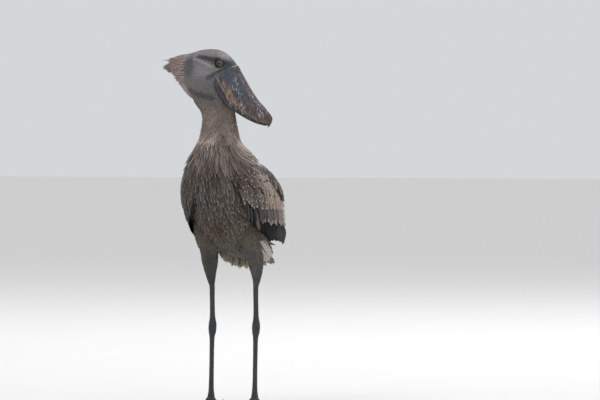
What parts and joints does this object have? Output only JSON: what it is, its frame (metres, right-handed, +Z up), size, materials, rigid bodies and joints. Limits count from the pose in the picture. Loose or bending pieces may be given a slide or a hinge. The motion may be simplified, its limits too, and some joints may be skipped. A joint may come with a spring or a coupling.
{
  "type": "shoebill model",
  "caption": "Still, life-size standing shoebill with folded wings and its head turned to its left.",
  "frame": {"origin": "on the floor, under the middle of the bounding box in plan", "axes": "+Z up, -Y the way the breast faces, +X the bird's left side, towards which its bill points"},
  "size_m": [0.3528, 0.5502, 1.1026],
  "materials": {
    "plumage": "soft grey-brown plumage",
    "flight": "slate-grey flight feathers",
    "bill": "satin horn, mottled",
    "eye": "wet gloss",
    "leg": "scaly slate skin",
    "claw": "satin horn"
  },
  "bodies": {
    "root": {"torso": "plumage", "neck": "plumage", "head": "plumage", "bill_upper": "bill", "bill_lower": "bill", "tail": "flight", "eye_left": "eye", "eye_right": "eye", "wing_left": "flight", "wing_right": "flight", "thigh_left": "plumage", "thigh_right": "plumage", "shank_left": "leg", "shank_right": "leg", "tarsus_left": "leg", "tarsus_right": "leg", "foot_left": "leg", "foot_right": "leg", "toe_middle_left": "leg", "toe_middle_right": "leg", "toe_inner_left": "leg", "toe_inner_right": "leg", "toe_outer_left": "leg", "toe_outer_right": "leg", "toe_hind_left": "leg", "toe_hind_right": "leg", "claw_middle_left": "claw", "claw_middle_right": "claw", "claw_inner_left": "claw", "claw_inner_right": "claw", "claw_outer_left": "claw", "claw_outer_right": "claw", "claw_hind_left": "claw", "claw_hind_right": "claw"}
  },
  "joints": []
}
